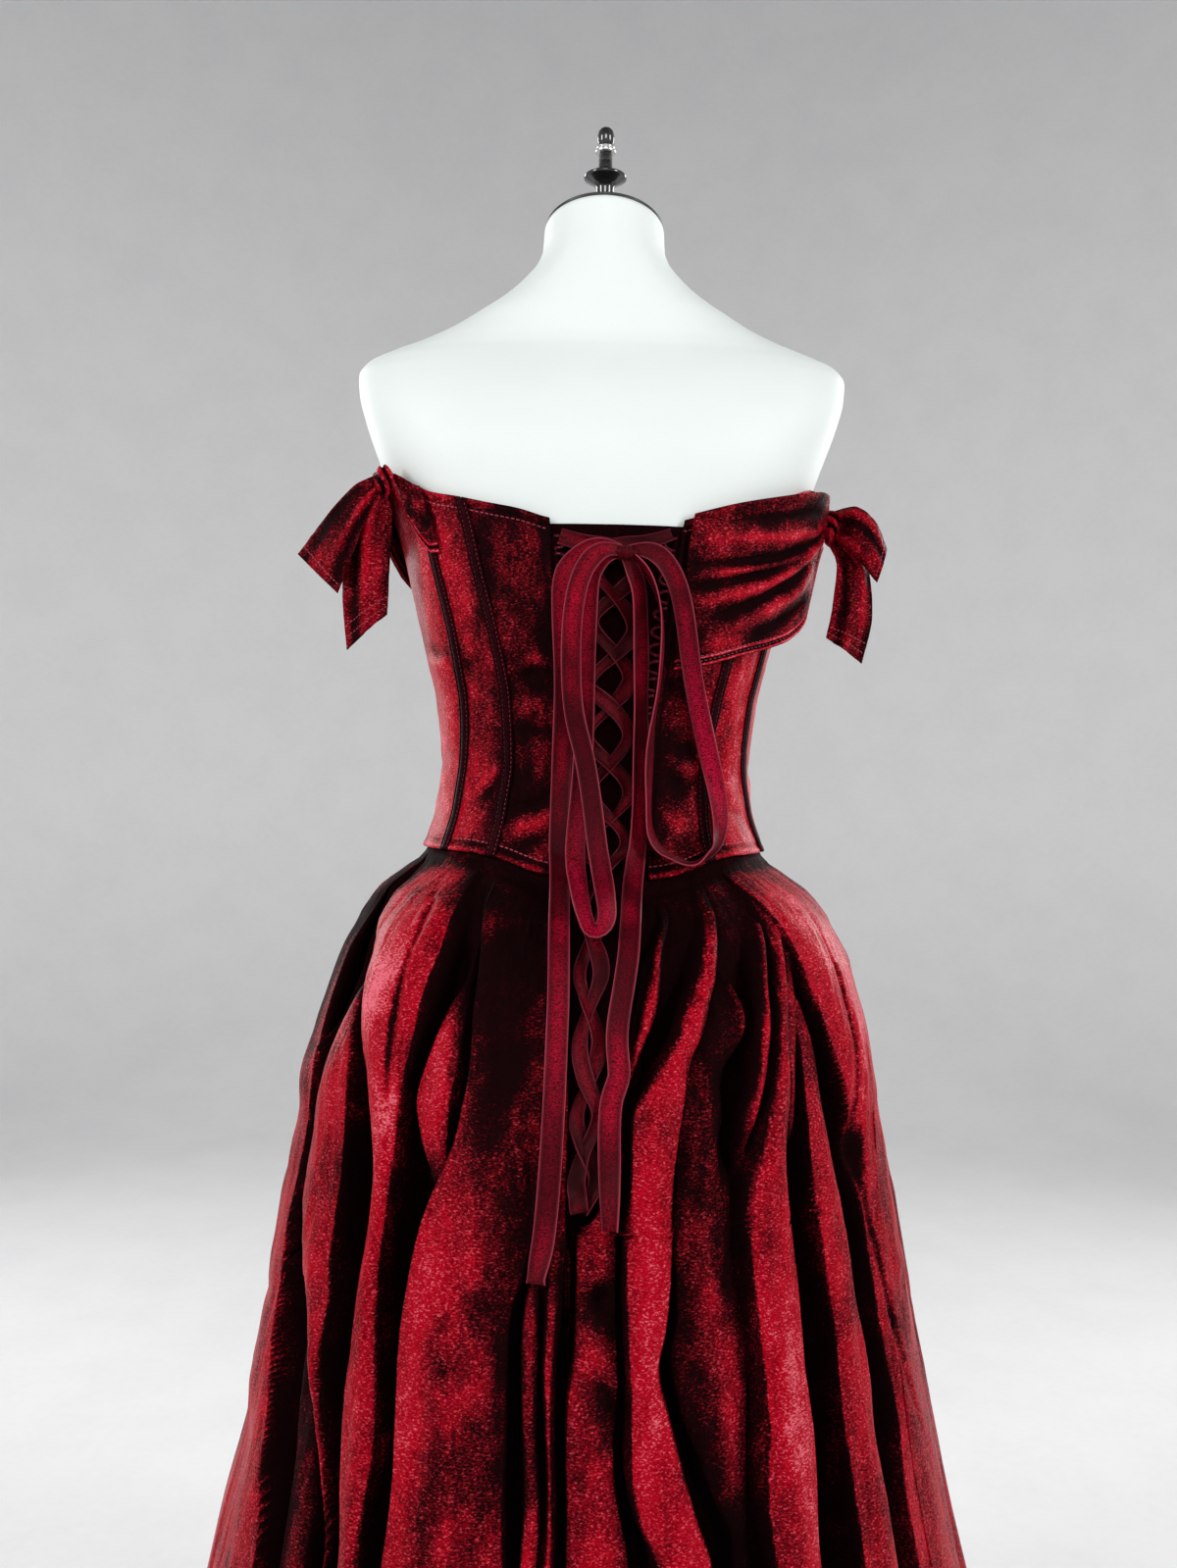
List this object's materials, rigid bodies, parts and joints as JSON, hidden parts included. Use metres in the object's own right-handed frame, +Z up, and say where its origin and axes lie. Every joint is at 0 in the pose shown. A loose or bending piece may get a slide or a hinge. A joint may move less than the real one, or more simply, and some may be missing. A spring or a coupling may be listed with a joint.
{
  "type": "a-line prom dress on dress form",
  "caption": "Off-shoulder corset-laced velvet gown with a full gathered A-line skirt, ribbon bow and hanging ties, worn by a limbless dress form on a round stand.",
  "frame": {"origin": "middle of the underside of the stand's round base, on the floor", "axes": "+Z up along the form's pole; the laced back of the gown faces -Y and its front +Y; +X is to the right seen from the back"},
  "size_m": [0.7508, 0.7322, 1.5369],
  "materials": {
    "velvet": "deep crimson crushed velvet, short pile with bright sheen on every fold",
    "velvet_dark": "the same velvet seen against the pile, and the matt lining cloth behind the lacing",
    "ribbon": "crimson velvet ribbon with woven edges",
    "form_cover": "smooth off-white stretch jersey cover",
    "stand_black": "satin black",
    "finial_black": "turned and lacquered black",
    "stand_metal": "brushed, satin"
  },
  "bodies": {
    "root": {"bodice_back_center_L": "velvet", "bodice_back_center_R": "velvet", "bodice_back_side_L": "velvet", "bodice_back_side_R": "velvet", "bodice_front_center": "velvet", "bodice_front_side_L": "velvet", "bodice_front_side_R": "velvet", "bodice_side_L": "velvet", "bodice_side_R": "velvet", "bow_knot": "ribbon", "bow_loop_L": "ribbon", "bow_loop_R": "ribbon", "bow_tail_L": "ribbon", "bow_tail_R": "ribbon", "channel_back_L": "velvet_dark", "channel_back_R": "velvet_dark", "channel_side_L": "velvet_dark", "channel_side_R": "velvet_dark", "drape_L": "velvet", "drape_R": "velvet", "ear_L": "velvet", "ear_R": "velvet", "form_base": "stand_black", "form_body": "form_cover", "form_finial": "finial_black", "form_finial_knob": "finial_black", "form_finial_ring": "stand_metal", "form_neck_cap": "stand_black", "form_pole": "stand_metal", "form_socket": "stand_black", "knot_L": "velvet", "knot_R": "velvet", "lace_A": "ribbon", "lace_B": "ribbon", "loop_tape_L": "ribbon", "loop_tape_R": "ribbon", "modesty_panel": "velvet_dark", "skirt_back_L": "velvet", "skirt_back_R": "velvet", "skirt_front": "velvet", "skirt_placket_panel": "velvet_dark", "skirt_side_L": "velvet", "skirt_side_R": "velvet", "sleeve_front_L": "velvet", "sleeve_front_R": "velvet", "tail_L": "velvet", "tail_R": "velvet"}
  },
  "joints": []
}
